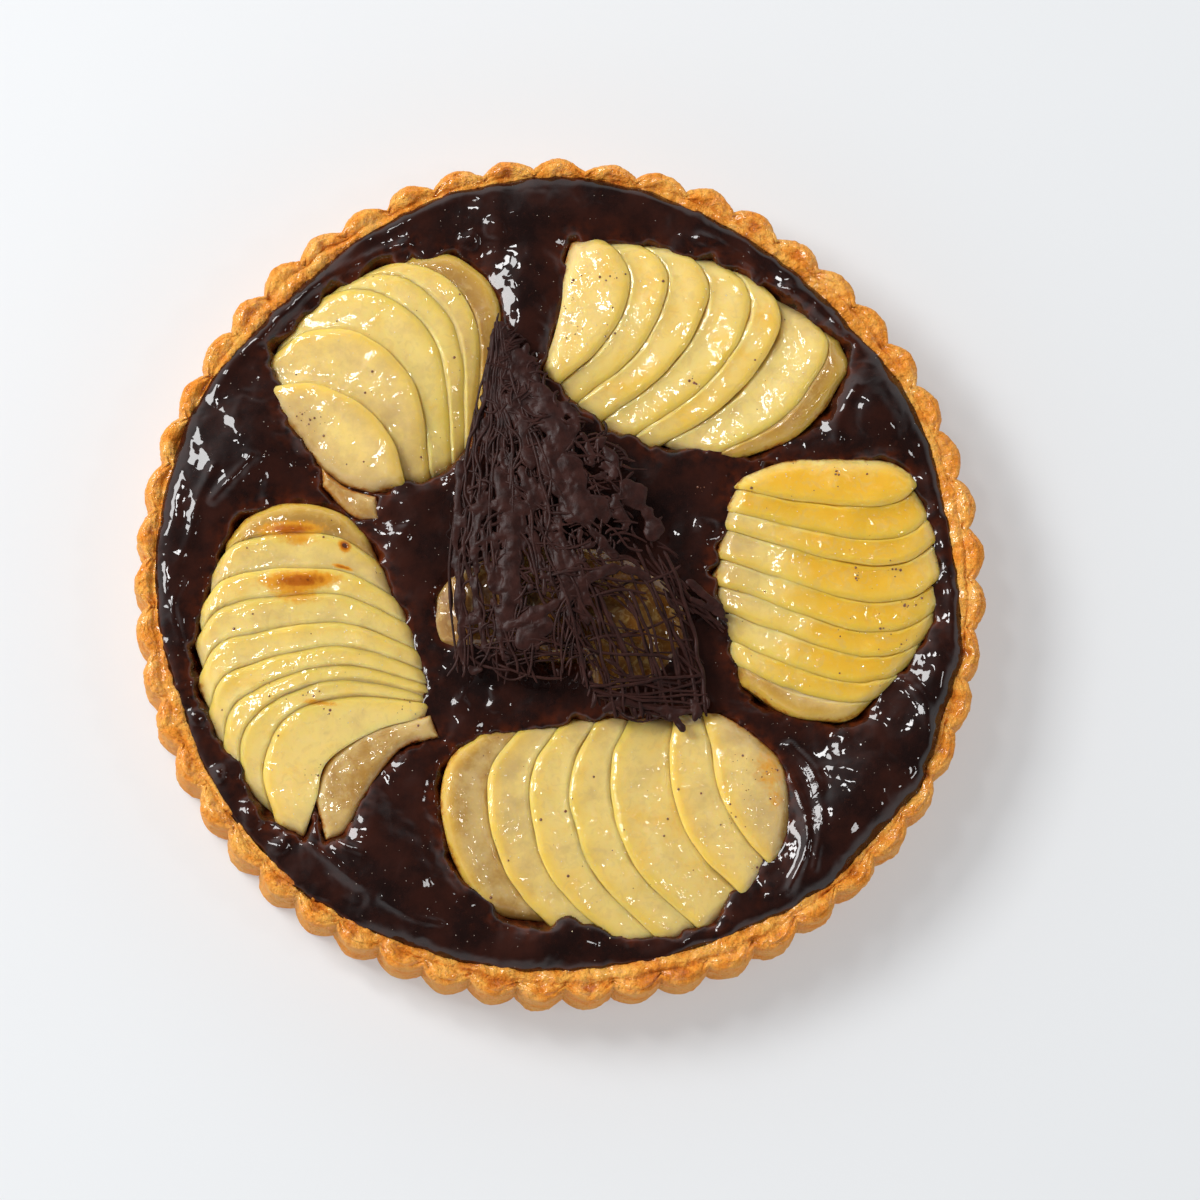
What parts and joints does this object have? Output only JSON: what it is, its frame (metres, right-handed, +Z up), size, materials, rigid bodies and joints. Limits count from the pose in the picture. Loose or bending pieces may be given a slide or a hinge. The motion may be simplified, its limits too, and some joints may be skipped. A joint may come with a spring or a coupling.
{
  "type": "chocolate and pear tart",
  "caption": "Round fluted pastry tart filled with glazed chocolate, set with fans of sliced pear round a centre pear, under an arched net of piped chocolate.",
  "frame": {"origin": "centre of the underside, on the surface the tart rests on", "axes": "+Z up, +X to the right and +Y away from the viewer as the picture shows the tart from above"},
  "size_m": [0.2212, 0.2212, 0.038],
  "materials": {
    "baked_crust": "golden baked pastry, slightly glazed",
    "glazed_chocolate": "very dark chocolate under clear glaze",
    "glazed_pear": "poached pear under clear glaze",
    "piped_chocolate": "set dark chocolate, satin"
  },
  "bodies": {
    "root": {"crust": "baked_crust", "chocolate_filling": "glazed_chocolate", "chocolate_net": "piped_chocolate", "pear_centre": "glazed_pear", "pear_upper_right_1": "glazed_pear", "pear_upper_right_2": "glazed_pear", "pear_upper_right_3": "glazed_pear", "pear_upper_right_4": "glazed_pear", "pear_upper_right_5": "glazed_pear", "pear_upper_right_6": "glazed_pear", "pear_upper_right_7": "glazed_pear", "pear_right_1": "glazed_pear", "pear_right_2": "glazed_pear", "pear_right_3": "glazed_pear", "pear_right_4": "glazed_pear", "pear_right_5": "glazed_pear", "pear_right_6": "glazed_pear", "pear_right_7": "glazed_pear", "pear_right_8": "glazed_pear", "pear_right_9": "glazed_pear", "pear_bottom_1": "glazed_pear", "pear_bottom_2": "glazed_pear", "pear_bottom_3": "glazed_pear", "pear_bottom_4": "glazed_pear", "pear_bottom_5": "glazed_pear", "pear_bottom_6": "glazed_pear", "pear_bottom_7": "glazed_pear", "pear_left_1": "glazed_pear", "pear_left_2": "glazed_pear", "pear_left_3": "glazed_pear", "pear_left_4": "glazed_pear", "pear_left_5": "glazed_pear", "pear_left_6": "glazed_pear", "pear_left_7": "glazed_pear", "pear_left_8": "glazed_pear", "pear_left_9": "glazed_pear", "pear_left_10": "glazed_pear", "pear_upper_left_1": "glazed_pear", "pear_upper_left_2": "glazed_pear", "pear_upper_left_3": "glazed_pear", "pear_upper_left_4": "glazed_pear", "pear_upper_left_5": "glazed_pear", "pear_upper_left_6": "glazed_pear", "pear_upper_left_7": "glazed_pear"}
  },
  "joints": []
}
